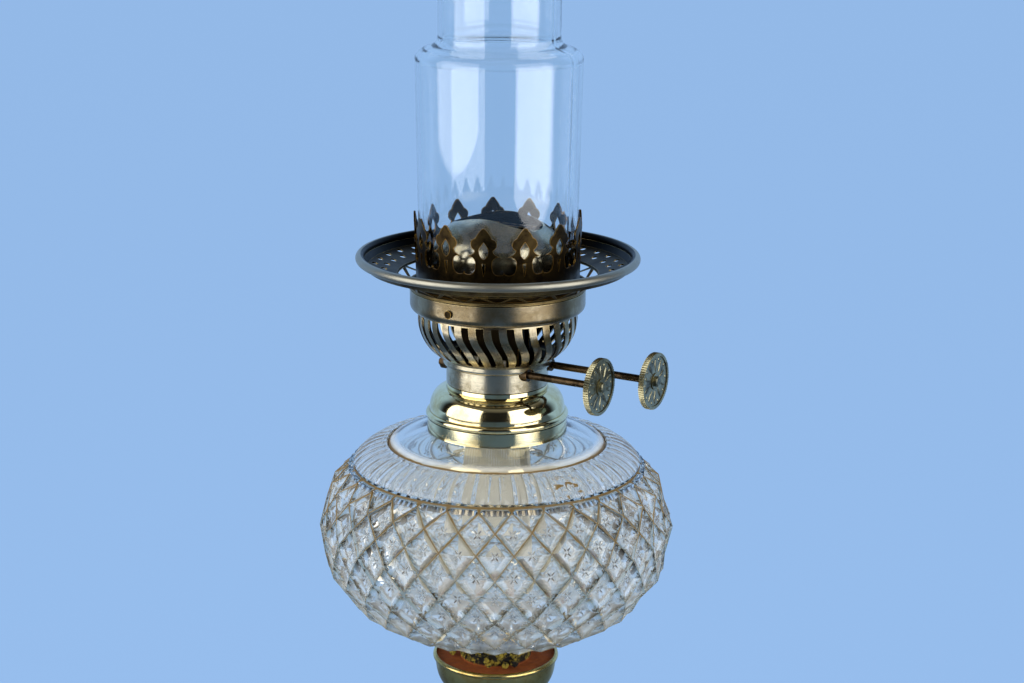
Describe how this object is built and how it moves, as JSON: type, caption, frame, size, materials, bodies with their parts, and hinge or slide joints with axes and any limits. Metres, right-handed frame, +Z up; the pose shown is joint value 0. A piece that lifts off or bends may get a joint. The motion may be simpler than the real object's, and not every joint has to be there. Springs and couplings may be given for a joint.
{
  "type": "oil lamp",
  "caption": "Table oil lamp with a cut-glass font, a flat-wick burner with winder knobs, a pierced shade gallery and a glass chimney on a reeded brass pillar.",
  "frame": {"origin": "on the table surface, under the lamp's axis", "axes": "+Z up along the lamp's axis; +X along the winder spindles towards their knobs"},
  "size_m": [0.15, 0.15, 0.614],
  "materials": {
    "aged_brass": "spun sheet brass, worn silvery with dark recesses",
    "browned_brass": "spun sheet brass, browned by heat",
    "dark_brass": "pierced sheet brass, blackened by heat",
    "polished_brass": "spun brass, polished",
    "pillar_brass": "turned and spun brass, softly polished",
    "spindle_bronze": "drawn brass rod, blackened",
    "knob_brass": "stamped brass, milled edge",
    "cut_glass": "pressed and cut clear glass",
    "chimney_glass": "blown clear glass",
    "cotton": "woven cotton tape",
    "plaster": "stained plaster of Paris",
    "black_glaze": "black glazed earthenware",
    "felt": "pressed wool felt",
    "iron": "cast",
    "steel": "turned"
  },
  "bodies": {
    "base": {"felt_pad": "felt", "plinth": "black_glaze", "foot": "pillar_brass", "foot_weight": "iron", "column_base": "pillar_brass", "column_tube": "pillar_brass", "column_capital": "pillar_brass", "knop": "pillar_brass", "socket_cup": "pillar_brass", "plaster_bed": "plaster", "tie_rod": "steel", "tie_washer": "steel", "tie_nut": "steel", "glass_font": "cut_glass", "font_collar": "polished_brass", "collar_plaster": "plaster"},
    "burner": {"burner_sleeve": "aged_brass", "burner_neck": "aged_brass", "burner_floor": "aged_brass", "air_basket": "aged_brass", "burner_band": "aged_brass", "band_rivets": "dark_brass", "air_plate": "dark_brass", "front_wick_tube": "dark_brass", "rear_wick_tube": "dark_brass", "spindle_bushes": "spindle_bronze"},
    "front_winder": {"front_spindle": "spindle_bronze", "front_spur_wheels": "aged_brass", "front_knob": "knob_brass", "front_knob_nut": "knob_brass"},
    "rear_winder": {"rear_spindle": "spindle_bronze", "rear_spur_wheels": "aged_brass", "rear_knob": "knob_brass", "rear_knob_nut": "knob_brass"},
    "front_wick": {"front_wick": "cotton"},
    "rear_wick": {"rear_wick": "cotton"},
    "gallery": {"gallery_seat": "aged_brass", "gallery_skirt": "browned_brass", "gallery_dish": "browned_brass", "cone": "aged_brass", "coronet": "dark_brass"},
    "chimney": {"glass_chimney": "chimney_glass"}
  },
  "joints": [
    {"name": "burner_lift", "type": "slide", "parent": "base", "child": "burner", "axis": [0, 0, 1], "range_m": [0, 0.12]},
    {"name": "gallery_lift", "type": "slide", "parent": "burner", "child": "gallery", "axis": [0, 0, 1], "range_m": [0, 0.05]},
    {"name": "chimney_lift", "type": "slide", "parent": "gallery", "child": "chimney", "axis": [0, 0, 1], "range_m": [0, 0.09]},
    {"name": "front_winder_turn", "type": "hinge", "parent": "burner", "child": "front_winder", "pos_m": [0, -0.0095, 0.3263], "axis": [1, 0, 0], "range_deg": [-395, 125]},
    {"name": "front_wick_feed", "type": "slide", "parent": "burner", "child": "front_wick", "axis": [0, 0, 1], "range_m": [-0.025, 0.008]},
    {"name": "rear_winder_turn", "type": "hinge", "parent": "burner", "child": "rear_winder", "pos_m": [0, 0.0095, 0.3263], "axis": [-1, 0, 0], "range_deg": [-395, 125]},
    {"name": "rear_wick_feed", "type": "slide", "parent": "burner", "child": "rear_wick", "axis": [0, 0, 1], "range_m": [-0.025, 0.008]}
  ],
  "couplings": [
    {"joint": "front_wick_feed", "follows": "front_winder_turn", "m_per_rad": 0.0036},
    {"joint": "rear_wick_feed", "follows": "rear_winder_turn", "m_per_rad": 0.0036}
  ]
}
